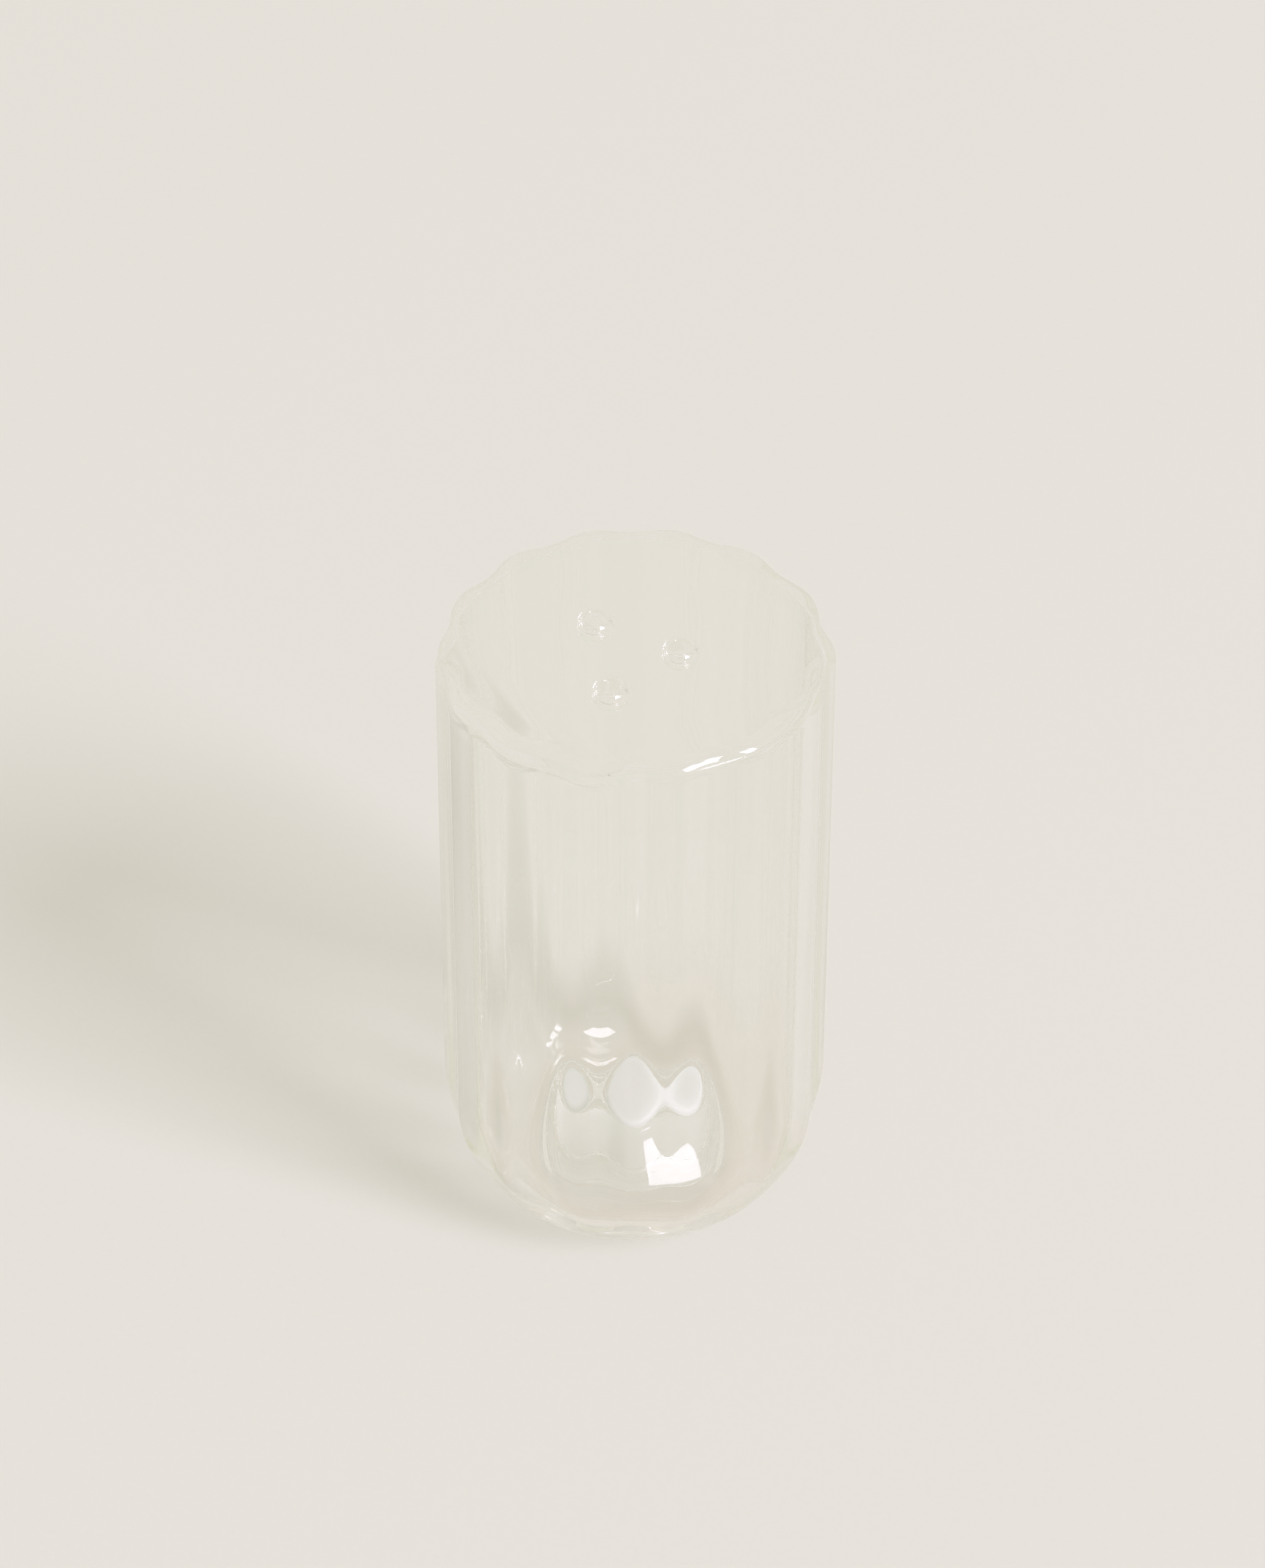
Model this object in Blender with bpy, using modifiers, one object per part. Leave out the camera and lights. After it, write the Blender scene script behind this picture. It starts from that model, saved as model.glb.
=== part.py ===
"""A fluted blown-glass salt shaker with a silicone stopper in its base.

The glass is one piece: a flat top with three pour holes, a fluted wall, a soft base
corner that ends in a standing ring, and a neck that is turned up inside the base.
The stopper is a hollow plug that fills the neck. Its flange lies in the recess under
the base, clear of the table, and the stopper is pulled straight down out of the neck.
"""

import math

import bpy
import numpy as np

MM = 0.001

# Glass body
BODY_DIAMETER = 50.0 * MM
BODY_HEIGHT = 87.0 * MM
WALL_THICKNESS = 1.9 * MM
TOP_THICKNESS = 2.2 * MM
BASE_THICKNESS = 4.0 * MM
SHOULDER_RADIUS = 2.5 * MM
INNER_SHOULDER_RADIUS = 0.5 * MM
CORNER_HEIGHT = 17.0 * MM
FOOT_WIDTH = 1.2 * MM
RECESS_SLOPE_WIDTH = 1.9 * MM

# Flutes, which start low on the base corner and run out across the top's edge
FLUTE_COUNT = 14
FLUTE_DEPTH = 0.9 * MM
INNER_FLUTE_DEPTH = 0.4 * MM
FLUTE_TURN = math.radians(14.6)
FLUTE_START_HEIGHT = 2.0 * MM
FLUTE_RUN_OUT = 5.1 * MM
STEPS_PER_FLUTE = 6

# Pour holes, pierced by hand: their circle is off the axis and they are unevenly spaced
HOLE_DIAMETER = 2.6 * MM
HOLE_LIP_RADIUS = 1.0 * MM
HOLE_PITCH_RADIUS = 7.23 * MM
HOLE_TURNS = (6.2, 118.2, 258.4)
HOLE_CENTRE_X = -1.59 * MM
HOLE_CENTRE_Y = -1.27 * MM
HOLE_STEPS = 20

# Neck inside the base, and the cone at 45 degrees that runs from it down to the floor
NECK_BORE = 13.2 * MM
NECK_WALL = 1.5 * MM
NECK_HEIGHT = 8.8 * MM
NECK_STRAIGHT = 0.3 * MM
NECK_FILLET = 1.0 * MM
FLOOR_FILLET = 6.0 * MM
MOUTH_RADIUS = 1.0 * MM

# Stopper
STOPPER_LIFT = 0.8 * MM
FLANGE_THICKNESS = 1.4 * MM
FLANGE_OVERHANG = 3.8 * MM
PLUG_CROWN = 0.4 * MM
PLUG_EDGE_RADIUS = 0.5 * MM
STOPPER_WALL = 2.1 * MM
STOPPER_ROOF = 2.4 * MM
STOPPER_EDGE_RADIUS = 0.6 * MM
STOPPER_STEPS = 44

# Clearances between the stopper and the glass, and how far a cutter runs past a face
BORE_CLEARANCE = 0.3 * MM
SEAT_CLEARANCE = 0.3 * MM
FLANGE_CLEARANCE = 0.5 * MM
CUTTER_OVERRUN = 1.0 * MM
LIP_OVERRUN = 0.02 * MM
MERGE_DISTANCE = 0.001 * MM
SHARP_ANGLE = math.radians(40)

# Worked-out radii
BODY_RADIUS = BODY_DIAMETER / 2
CHAMBER_RADIUS = BODY_RADIUS - WALL_THICKNESS
FLUTE_END_RADIUS = CHAMBER_RADIUS - FLUTE_RUN_OUT
BORE_RADIUS = NECK_BORE / 2
NECK_RADIUS = BORE_RADIUS + NECK_WALL
FLANGE_RADIUS = BORE_RADIUS + FLANGE_OVERHANG
RECESS_RADIUS = FLANGE_RADIUS + FLANGE_CLEARANCE
FOOT_INNER_RADIUS = RECESS_RADIUS + RECESS_SLOPE_WIDTH
FOOT_RADIUS = FOOT_INNER_RADIUS + FOOT_WIDTH

# Worked-out heights above the table
FLANGE_TOP = STOPPER_LIFT + FLANGE_THICKNESS
RECESS_HEIGHT = FLANGE_TOP + SEAT_CLEARANCE
CHAMBER_TOP = BODY_HEIGHT - TOP_THICKNESS
NECK_TOP = RECESS_HEIGHT + NECK_HEIGHT
NECK_BEAD_RADIUS = NECK_WALL / 2
CONE_START = NECK_TOP - NECK_BEAD_RADIUS - NECK_STRAIGHT
MOUTH_TOP = RECESS_HEIGHT + MOUTH_RADIUS
PLUG_TOP = NECK_TOP + PLUG_CROWN

# On a cone at 45 degrees radius and height add up to the same sum, which gives the floor's radius
EIGHTH = math.sqrt(0.5)
CONE_SUM = NECK_RADIUS + CONE_START + NECK_FILLET * (1 - 2 * EIGHTH)
FLOOR_RADIUS = CONE_SUM - BASE_THICKNESS - FLOOR_FILLET * (1 - 2 * EIGHTH)


def clear_scene():
    """Remove whatever objects the file starts with."""
    for item in list(bpy.data.objects):
        bpy.data.objects.remove(item, do_unlink=True)


def new_collection(name):
    """A collection linked to the scene."""
    collection = bpy.data.collections.new(name)
    bpy.context.scene.collection.children.link(collection)
    return collection


def principled(name, colour, roughness, transmission, ior):
    """A non-metallic material with its colour, roughness and see-through share."""
    material = bpy.data.materials.new(name)
    material.use_nodes = True
    shader = material.node_tree.nodes["Principled BSDF"]
    shader.inputs["Base Color"].default_value = (*colour, 1.0)
    shader.inputs["Roughness"].default_value = roughness
    shader.inputs["Metallic"].default_value = 0.0
    shader.inputs["Transmission Weight"].default_value = transmission
    shader.inputs["IOR"].default_value = ior
    material.diffuse_color = (*colour, 1.0)
    return material


def arc(centre, half_width, half_height, start, end, steps):
    """Points on an elliptical arc about a (radius, height) centre, angles in degrees."""
    angles = [math.radians(start + (end - start) * step / steps) for step in range(steps + 1)]
    return [
        (centre[0] + half_width * math.cos(angle), centre[1] + half_height * math.sin(angle))
        for angle in angles
    ]


def ramp(start, end, steps):
    """Points on an S-shaped run that leaves both ends level."""
    points = []
    for step in range(steps + 1):
        share = step / steps
        rise = share * share * (3 - 2 * share)
        points.append((start[0] + (end[0] - start[0]) * share, start[1] + (end[1] - start[1]) * rise))
    return points


def turned_object(name, profile, steps, collection):
    """Turn a profile of (radius, height) points once round the Z axis."""
    mesh = bpy.data.meshes.new(name)
    points = [(radius, 0.0, height) for radius, height in profile]
    edges = [(index, index + 1) for index in range(len(points) - 1)]
    mesh.from_pydata(points, edges, [])
    item = bpy.data.objects.new(name, mesh)
    collection.objects.link(item)
    screw = item.modifiers.new("Turn", "SCREW")
    screw.axis = "Z"
    screw.angle = 2 * math.pi
    screw.steps = steps
    screw.render_steps = steps
    screw.use_merge_vertices = True
    screw.merge_threshold = MERGE_DISTANCE
    screw.use_smooth_shade = True
    return item


def outside_profile():
    """Down the outside of the glass: top centre, shoulder, wall, base corner, foot."""
    shoulder_centre = (BODY_RADIUS - SHOULDER_RADIUS, BODY_HEIGHT - SHOULDER_RADIUS)
    corner_centre = (FOOT_RADIUS, CORNER_HEIGHT)
    corner_width = BODY_RADIUS - FOOT_RADIUS
    return [
        (0.0, BODY_HEIGHT),
        *arc(shoulder_centre, SHOULDER_RADIUS, SHOULDER_RADIUS, 90, 0, 4),
        *arc(corner_centre, corner_width, CORNER_HEIGHT, 0, -90, 9),
        (FOOT_INNER_RADIUS, 0.0),
    ]


def neck_profile():
    """Under the base, up the neck's bore, over its rounded rim, down its side and the cone."""
    mouth_centre = (BORE_RADIUS + MOUTH_RADIUS, MOUTH_TOP)
    bead_centre = (BORE_RADIUS + NECK_BEAD_RADIUS, NECK_TOP - NECK_BEAD_RADIUS)
    fillet_centre = (NECK_RADIUS + NECK_FILLET, CONE_START)
    floor_centre = (FLOOR_RADIUS, BASE_THICKNESS + FLOOR_FILLET)
    recess = ramp((FOOT_INNER_RADIUS, 0.0), (RECESS_RADIUS, RECESS_HEIGHT), 4)
    return [
        *recess[1:],
        *arc(mouth_centre, MOUTH_RADIUS, MOUTH_RADIUS, -90, -180, 3),
        *arc(bead_centre, NECK_BEAD_RADIUS, NECK_BEAD_RADIUS, 180, 0, 4),
        *arc(fillet_centre, NECK_FILLET, NECK_FILLET, 180, 225, 3),
        *arc(floor_centre, FLOOR_FILLET, FLOOR_FILLET, 225, 270, 4),
    ]


def inside_profile():
    """From the chamber floor up the inner wall to the middle of the top's underside."""
    corner_centre = (FLOOR_RADIUS, CORNER_HEIGHT)
    corner_width = CHAMBER_RADIUS - FLOOR_RADIUS
    corner_depth = CORNER_HEIGHT - BASE_THICKNESS
    corner = arc(corner_centre, corner_width, corner_depth, -90, 0, 9)
    shoulder_centre = (CHAMBER_RADIUS - INNER_SHOULDER_RADIUS, CHAMBER_TOP - INNER_SHOULDER_RADIUS)
    return [
        *corner[1:],
        *arc(shoulder_centre, INNER_SHOULDER_RADIUS, INNER_SHOULDER_RADIUS, 0, 90, 3),
        (0.0, CHAMBER_TOP),
    ]


def eased(values, start, end):
    """Smooth shares: 0 up to the start, 1 from the end on, level at both."""
    share = np.clip((values - start) / (end - start), 0, 1)
    return share * share * (3 - 2 * share)


def press_flutes(mesh):
    """Draw each ring of points in between the flute crests, by the depth stored on it.

    Across one flute the depth follows a sine wave, so crests and notches are equally soft.
    It fades out down the base corner, and on the flat top it only shapes the edge.
    """
    count = len(mesh.vertices)
    points = np.empty(count * 3, dtype=np.float32)
    mesh.vertices.foreach_get("co", points)
    points = points.reshape(count, 3)
    depth = np.empty(count, dtype=np.float32)
    mesh.attributes["flute_depth"].data.foreach_get("value", depth)
    radius = np.hypot(points[:, 0], points[:, 1])
    angle = np.arctan2(points[:, 1], points[:, 0])
    notch = np.cos(angle * FLUTE_COUNT / 2) ** 2
    fade = eased(radius, FLUTE_END_RADIUS, CHAMBER_RADIUS)
    fade *= eased(points[:, 2], FLUTE_START_HEIGHT, CORNER_HEIGHT)
    shrink = 1 - depth * fade * notch / np.maximum(radius, FLUTE_END_RADIUS)
    points[:, :2] *= shrink[:, None]
    mesh.vertices.foreach_set("co", points.ravel())
    mesh.update()


def hole_cutter(name, centre, collection):
    """A turned cutter for one pour hole, flared at both faces for fire-polished lips."""
    radius = HOLE_DIAMETER / 2
    flare = radius + HOLE_LIP_RADIUS
    upper = BODY_HEIGHT + LIP_OVERRUN
    lower = CHAMBER_TOP - LIP_OVERRUN
    profile = [
        (0.0, upper + CUTTER_OVERRUN),
        (flare, upper + CUTTER_OVERRUN),
        *arc((flare, upper - HOLE_LIP_RADIUS), HOLE_LIP_RADIUS, HOLE_LIP_RADIUS, 90, 180, 3),
        *arc((flare, lower + HOLE_LIP_RADIUS), HOLE_LIP_RADIUS, HOLE_LIP_RADIUS, 180, 270, 3),
        (flare, lower - CUTTER_OVERRUN),
        (0.0, lower - CUTTER_OVERRUN),
    ]
    cutter = turned_object(name, profile, HOLE_STEPS, collection)
    cutter.location = (centre[0], centre[1], 0.0)
    cutter.hide_render = True
    cutter.display_type = "WIRE"
    return cutter


def make_glass_body(parts, cutters, material):
    """Turn the glass, press its flutes and cut its pour holes."""
    outside = outside_profile()
    neck = neck_profile()
    inside = inside_profile()
    blank = turned_object("glass_blank", outside + neck + inside, FLUTE_COUNT * STEPS_PER_FLUTE, cutters)
    depths = [FLUTE_DEPTH] * len(outside) + [0.0] * len(neck) + [INNER_FLUTE_DEPTH] * len(inside)
    stored = blank.data.attributes.new("flute_depth", "FLOAT", "POINT")
    stored.data.foreach_set("value", depths)
    graph = bpy.context.evaluated_depsgraph_get()
    mesh = bpy.data.meshes.new_from_object(blank.evaluated_get(graph))
    bpy.data.objects.remove(blank, do_unlink=True)
    press_flutes(mesh)
    mesh.name = "glass_body"
    mesh.shade_smooth()
    mesh.set_sharp_from_angle(angle=SHARP_ANGLE)
    mesh.materials.append(material)
    body = bpy.data.objects.new("glass_body", mesh)
    body.rotation_euler.z = FLUTE_TURN
    parts.objects.link(body)
    for number, degrees in enumerate(HOLE_TURNS, start=1):
        turn = math.radians(degrees)
        centre = (
            HOLE_CENTRE_X + HOLE_PITCH_RADIUS * math.cos(turn),
            HOLE_CENTRE_Y + HOLE_PITCH_RADIUS * math.sin(turn),
        )
        cut = body.modifiers.new(f"Pour hole {number}", "BOOLEAN")
        cut.operation = "DIFFERENCE"
        cut.solver = "EXACT"
        cut.object = hole_cutter(f"pour_hole_cutter_{number}", centre, cutters)
    return body


def make_stopper(parts, material):
    """Turn the hollow silicone stopper with its flange."""
    plug_radius = BORE_RADIUS - BORE_CLEARANCE
    hollow_radius = plug_radius - STOPPER_WALL
    hollow_top = PLUG_TOP - STOPPER_ROOF
    edge = STOPPER_EDGE_RADIUS
    flange_edge = FLANGE_THICKNESS / 2
    plug_edge_centre = (plug_radius - PLUG_EDGE_RADIUS, PLUG_TOP - PLUG_EDGE_RADIUS)
    profile = [
        (0.0, PLUG_TOP),
        *arc(plug_edge_centre, PLUG_EDGE_RADIUS, PLUG_EDGE_RADIUS, 90, 0, 4),
        *arc((plug_radius + edge, FLANGE_TOP + edge), edge, edge, 180, 270, 4),
        *arc((FLANGE_RADIUS - flange_edge, FLANGE_TOP - flange_edge), flange_edge, flange_edge, 90, -90, 6),
        *arc((hollow_radius + edge, STOPPER_LIFT + edge), edge, edge, -90, -180, 3),
        *arc((hollow_radius - edge, hollow_top - edge), edge, edge, 0, 90, 3),
        (0.0, hollow_top),
    ]
    stopper = turned_object("base_stopper", profile, STOPPER_STEPS, parts)
    stopper.data.materials.append(material)
    return stopper


def build():
    """Build the shaker with its foot on the table plane and its axis on Z."""
    clear_scene()
    parts = new_collection("salt_shaker")
    cutters = new_collection("cutters")
    glass = principled("clear_glass", (0.93, 0.96, 0.93), 0.02, 1.0, 1.47)
    silicone = principled("milky_silicone", (0.86, 0.87, 0.85), 0.45, 0.15, 1.41)
    make_glass_body(parts, cutters, glass)
    make_stopper(parts, silicone)


build()
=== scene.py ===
# %% [markdown]
# # A fluted glass salt shaker
#
# The shaker is one piece of blown clear glass: a flat top with three pour holes, a wall of fourteen
# flutes, a soft base corner and a neck turned up inside the base. A milky silicone stopper closes
# the neck from below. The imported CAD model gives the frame, which is two bodies, one slide joint
# and the overall box. This lesson makes a finer skin for each of the two pieces, works out their
# finishes and lights them on a pale table.

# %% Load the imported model
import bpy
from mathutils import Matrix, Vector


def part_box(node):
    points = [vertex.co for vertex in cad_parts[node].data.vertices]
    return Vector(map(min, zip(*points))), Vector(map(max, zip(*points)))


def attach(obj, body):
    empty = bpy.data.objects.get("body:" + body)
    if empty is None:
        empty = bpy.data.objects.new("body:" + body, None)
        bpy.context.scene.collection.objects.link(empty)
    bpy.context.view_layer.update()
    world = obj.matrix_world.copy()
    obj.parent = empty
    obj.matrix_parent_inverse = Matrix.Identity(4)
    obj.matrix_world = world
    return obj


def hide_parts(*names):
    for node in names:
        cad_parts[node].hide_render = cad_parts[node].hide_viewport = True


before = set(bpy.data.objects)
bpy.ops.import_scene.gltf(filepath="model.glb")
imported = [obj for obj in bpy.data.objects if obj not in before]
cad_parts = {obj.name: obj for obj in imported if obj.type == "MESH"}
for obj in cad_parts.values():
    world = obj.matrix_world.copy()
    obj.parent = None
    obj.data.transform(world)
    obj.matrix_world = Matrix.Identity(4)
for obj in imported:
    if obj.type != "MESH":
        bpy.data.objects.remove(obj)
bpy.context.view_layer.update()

import math

import bmesh
import bpy
import numpy as np
from mathutils import Matrix, Vector

scene = bpy.context.scene
scene.view_settings.view_transform = "Standard"

# %% [markdown]
# ## The camera
#
# The photograph looks down on the shaker from the front. Its camera was found by fitting the
# outline of a turned body 50 mm across: a long lens at about 74 cm, tipped down by 40 degrees. A
# long lens shows in the way the sides of the glass stay nearly parallel. Blender measures a lens
# against a 36 mm sensor along the longer side of the picture, so a focal length in pixels is
# turned into millimetres with the picture's height.

# %% Set up the camera
PHOTO_HEIGHT = 2151
FOCAL_PIXELS = 8000
SENSOR_SIZE = 36
VIEW_DISTANCE = 0.738
VIEW_PITCH = math.radians(40.35)
VIEW_ROLL = math.radians(0.16)
VIEW_AIM = Vector((-0.00032, 0.0, 0.0641))
NEAREST_SEEN = 0.01
FARTHEST_SEEN = 30

lens = bpy.data.cameras.new("view")
lens.lens = FOCAL_PIXELS / PHOTO_HEIGHT * SENSOR_SIZE
lens.sensor_width = SENSOR_SIZE
lens.clip_start = NEAREST_SEEN
lens.clip_end = FARTHEST_SEEN
camera = bpy.data.objects.new("view", lens)
scene.collection.objects.link(camera)
scene.camera = camera
back_off = Vector((0, -math.cos(VIEW_PITCH), math.sin(VIEW_PITCH))) * VIEW_DISTANCE
camera.location = VIEW_AIM + back_off
tip = Matrix.Rotation(math.pi / 2 - VIEW_PITCH, 3, "X") @ Matrix.Rotation(VIEW_ROLL, 3, "Z")
camera.rotation_euler = tip.to_euler()
print(f"Lens {lens.lens:.1f} mm, camera at {camera.location[:]}")

# %% [markdown]
# ## The section of the glass
#
# A turned object is fully given by its section, which is one closed line from the top, down the
# outside, under the base, up and over the neck, and back up the inside. A pencil line in a drawing
# program could be traced and spun, but here the line is worked out from a few named sizes, so that
# it stays true to the CAD model. It is made of straight runs, arcs and S-shaped runs, and the last
# number given to each is how many points it gets. Lengths are in millimetres, and a point is a
# radius and a height.

# %% Straight runs, arcs and S-shaped runs
def ease(value, start, end):
    """0 up to start, 1 from end on, and between them 3 t squared - 2 t cubed of the share t."""
    share = np.clip((value - start) / (end - start), 0, 1)
    return share * share * (3 - 2 * share)


def run(start, end, count):
    """Points on a straight line: start + share * (end - start)."""
    share = np.linspace(0, 1, count)[:, None]
    return np.array(start) + share * (np.array(end) - np.array(start))


def arc(centre, radii, start, end, count):
    """Points on an ellipse: centre + radii * (cos, sin) of an angle from start to end in degrees.

    A single radius makes it a circle."""
    turn = np.radians(np.linspace(start, end, count))
    return np.array(centre) + np.array(radii) * np.column_stack([np.cos(turn), np.sin(turn)])


def swell(start, end, count):
    """Points on an S-shaped run: the radius goes evenly from start to end, the height eases."""
    share = np.linspace(0, 1, count)
    shares = np.column_stack([share, ease(share, 0, 1)])
    return np.array(start) + shares * (np.array(end) - np.array(start))


MM = 0.001
low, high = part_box("glass_body")
BODY_HEIGHT = (high[2] - low[2]) / MM
BODY_RADIUS = 24.95
print(f"The glass is {BODY_HEIGHT:.1f} mm high and {2 * BODY_RADIUS:.1f} mm across its crests")

# %% [markdown]
# The outside comes first. The flat top starts at a ring round the pour holes, because the part
# inside that ring is made separately, with the holes in it. Then come the small shoulder, the
# straight wall, a long elliptical corner and the flat ring that the shaker stands on.

# %% The outside
HOLE_RING = 13.0
WALL = 1.9
TOP = 2.2
SHOULDER = 2.5
CORNER_HEIGHT = 17.0
FOOT_RADIUS = 14.0
FOOT_INNER = 12.8
CHAMBER_RADIUS = BODY_RADIUS - WALL
CHAMBER_TOP = BODY_HEIGHT - TOP

shoulder_centre = (BODY_RADIUS - SHOULDER, BODY_HEIGHT - SHOULDER)
corner_radii = (BODY_RADIUS - FOOT_RADIUS, CORNER_HEIGHT)
outside = np.vstack([
    run((HOLE_RING, BODY_HEIGHT), (shoulder_centre[0], BODY_HEIGHT), 8),
    arc(shoulder_centre, SHOULDER, 90, 0, 14),
    run((BODY_RADIUS, shoulder_centre[1]), (BODY_RADIUS, CORNER_HEIGHT), 20),
    arc((FOOT_RADIUS, CORNER_HEIGHT), corner_radii, 0, -90, 34),
    run((FOOT_RADIUS, 0), (FOOT_INNER, 0), 3),
])
print("Outside points:", len(outside))

# %% [markdown]
# The glassblower pushes the middle of the base up and opens it into a neck. Under the base this
# leaves a shallow recess for the stopper's flange. The neck's rim is a round bead, because a
# flame rounds every open edge of glass. From the neck a cone at 45 degrees runs down to the floor.
# It is the one face in there that mirrors the lamp to the viewer, as a white patch. Along such a
# cone radius and height add up to the same sum, which gives the radius where the floor begins.

# %% The neck inside the base
BORE_RADIUS = 6.6
NECK_WALL = 1.5
NECK_RADIUS = BORE_RADIUS + NECK_WALL
RECESS_RADIUS = 10.9
RECESS_HEIGHT = 2.5
BASE = 4.0
NECK_TOP = 11.3
NECK_STRAIGHT = 0.3
MOUTH = 1.0
BEAD = NECK_WALL / 2
NECK_FILLET = 1.0
FLOOR_FILLET = 6.0
COS_45 = math.sqrt(0.5)
CONE_START = NECK_TOP - BEAD - NECK_STRAIGHT
CONE_SUM = NECK_RADIUS + CONE_START + NECK_FILLET * (1 - 2 * COS_45)
FLOOR_RADIUS = CONE_SUM - BASE - FLOOR_FILLET * (1 - 2 * COS_45)

neck = np.vstack([
    swell((FOOT_INNER, 0), (RECESS_RADIUS, RECESS_HEIGHT), 12),
    arc((BORE_RADIUS + MOUTH, RECESS_HEIGHT + MOUTH), MOUTH, -90, -180, 8),
    run((BORE_RADIUS, RECESS_HEIGHT + MOUTH), (BORE_RADIUS, NECK_TOP - BEAD), 5),
    arc((BORE_RADIUS + BEAD, NECK_TOP - BEAD), BEAD, 180, 0, 14),
    arc((NECK_RADIUS + NECK_FILLET, CONE_START), NECK_FILLET, 180, 225, 8),
    arc((FLOOR_RADIUS, BASE + FLOOR_FILLET), FLOOR_FILLET, 225, 270, 10),
])
print("Neck points:", len(neck), "- the floor begins at a radius of", round(FLOOR_RADIUS, 2), "mm")

# %% [markdown]
# The inside follows the outside at the wall's thickness. Its corner with the top is tighter than
# the outer shoulder, as the photograph's thin rim shows. Where two runs meet, the section has the
# same point twice, and one of them is dropped. Each point that is left also carries how deep the
# flutes are pressed there, and which side of the glass it is on.

# %% The inside, and the whole section
INNER_SHOULDER = 0.5
FLUTE_DEPTH = 0.9
INNER_FLUTE_DEPTH = 0.4
REPEAT_GAP = 1e-6

inner_corner = (CHAMBER_RADIUS - INNER_SHOULDER, CHAMBER_TOP - INNER_SHOULDER)
inner_radii = (CHAMBER_RADIUS - FLOOR_RADIUS, CORNER_HEIGHT - BASE)
inside = np.vstack([
    arc((FLOOR_RADIUS, CORNER_HEIGHT), inner_radii, -90, 0, 30),
    run((CHAMBER_RADIUS, CORNER_HEIGHT), (CHAMBER_RADIUS, inner_corner[1]), 20),
    arc(inner_corner, INNER_SHOULDER, 0, 90, 12),
    run((inner_corner[0], CHAMBER_TOP), (HOLE_RING, CHAMBER_TOP), 7),
])


def fresh_points(section):
    """True for each point of a section that is not a repeat of the one before it."""
    steps = np.linalg.norm(np.diff(section, axis=0), axis=1)
    return np.concatenate([[True], steps > REPEAT_GAP])


counts = [len(outside), len(neck), len(inside)]
section = np.vstack([outside, neck, inside])
fresh = fresh_points(section)
section = section[fresh]
depth = np.repeat([FLUTE_DEPTH, 0.0, INNER_FLUTE_DEPTH], counts)[fresh]
side = np.repeat([0.0, 0.5, 1.0], counts)[fresh]
print("The section has", len(section), "points")

# %% [markdown]
# ## The flutes
#
# The real wall was blown against fourteen ribs, so it has fourteen round lobes with soft notches
# between them. A texture could only pretend this, and glass shows at once whether its surface is
# really shaped, because everything behind it bends. So each ring of the section is drawn in
# between the lobes by a function of the angle. The inside follows less than half as deep, which
# makes each lobe a weak lens and each notch a weak spreading lens, and so splits what is behind.
# The ribs were not quite even, so the notches drift a little and their depth changes round the wall.

# %% Angles round the glass, and the lobes
FLUTES = 14
FIRST_NOTCH = math.radians(14.6)
FLUTE_DRIFT = math.radians(1.2)
COLUMNS_PER_FLUTE = 24
COLUMNS = FLUTES * COLUMNS_PER_FLUTE
UNEVEN_WAVES = ((0.1, 3, 1.0), (0.08, 5, 2.5))

angle = FIRST_NOTCH + np.arange(COLUMNS) * 2 * np.pi / COLUMNS


def lobes(angle):
    """How far out a flute stands, 0 in a notch to 1 on a crest: sine squared of flutes * angle / 2.

    The drift turns the notches of the front, where the sine of the angle is -1, by twice itself."""
    drift = FLUTE_DRIFT * (1 - np.sin(angle))
    return np.sin((angle - FIRST_NOTCH + drift) * FLUTES / 2) ** 2


def unevenness(angle):
    """A factor about 1 for the flutes' depth: 1 + share * sine of (waves * angle + shift), summed."""
    return 1 + sum(share * np.sin(waves * angle + shift) for share, waves, shift in UNEVEN_WAVES)


heights = lobes(angle)
print(f"Columns: {COLUMNS} - lobes run from {heights.min():.3f} to {heights.max():.3f}")

# %% [markdown]
# Hand-blown glass also has fine upright lines, which a glassblower calls cords, drawn into its wall.
# They are only thousandths of a millimetre deep, but they help to give the streaks that run down the
# wall in the photograph. A sum of sines makes them without any random numbers, so the glass comes
# out the same each time. Flutes and cords fade out on the base corner and across the top's edge.

# %% The skin of the glass
CORD_DEPTH = 0.002
CORD_WAVES = ((37, 2.1), (29, 4.4), (45, 1.2), (23, 3.3))
FLUTE_RUN_OUT = 5.1
FLUTE_START_HEIGHT = 2.0


def cords(angle, side):
    """Depth of the fine upright lines, 0 to 1: half + the mean of four sines of the angle / 2.

    The two sides of the wall get different lines, because side shifts each sine."""
    lines = sum(np.sin(waves * angle + shift * side + waves) for waves, shift in CORD_WAVES)
    return 0.5 + lines / (2 * len(CORD_WAVES))


ring_radius, ring_height = section[:, :1], section[:, 1:]
pressed = depth[:, None] * ((1 - lobes(angle)) * unevenness(angle))[None, :]
lined = CORD_DEPTH * cords(angle[None, :], side[:, None])
fade = ease(ring_radius, CHAMBER_RADIUS - FLUTE_RUN_OUT, CHAMBER_RADIUS)
fade = fade * ease(ring_height, FLUTE_START_HEIGHT, CORNER_HEIGHT)
skin_radius = ring_radius - fade * (pressed + lined)
skin = np.stack([
    skin_radius * np.cos(angle),
    skin_radius * np.sin(angle),
    np.repeat(ring_height, COLUMNS, axis=1),
], axis=-1)
widest = int(np.argmax(section[:, 0]))
print(f"Skin grid {skin.shape[:2]} - deepest wall notch at {skin_radius[widest].min():.2f} mm")

# %% [markdown]
# ## The pour holes
#
# The three holes were pierced from above in the hot glass. A Boolean cut would leave long thin
# triangles that show up as flaws in glass. Instead the middle of the top is split into three
# sectors, one for each hole. The cuts between the sectors run out from the middle of the hole
# pattern, half-way between two holes. They have to end on a column of the skin's grid, so that the
# grids can be joined there.

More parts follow.
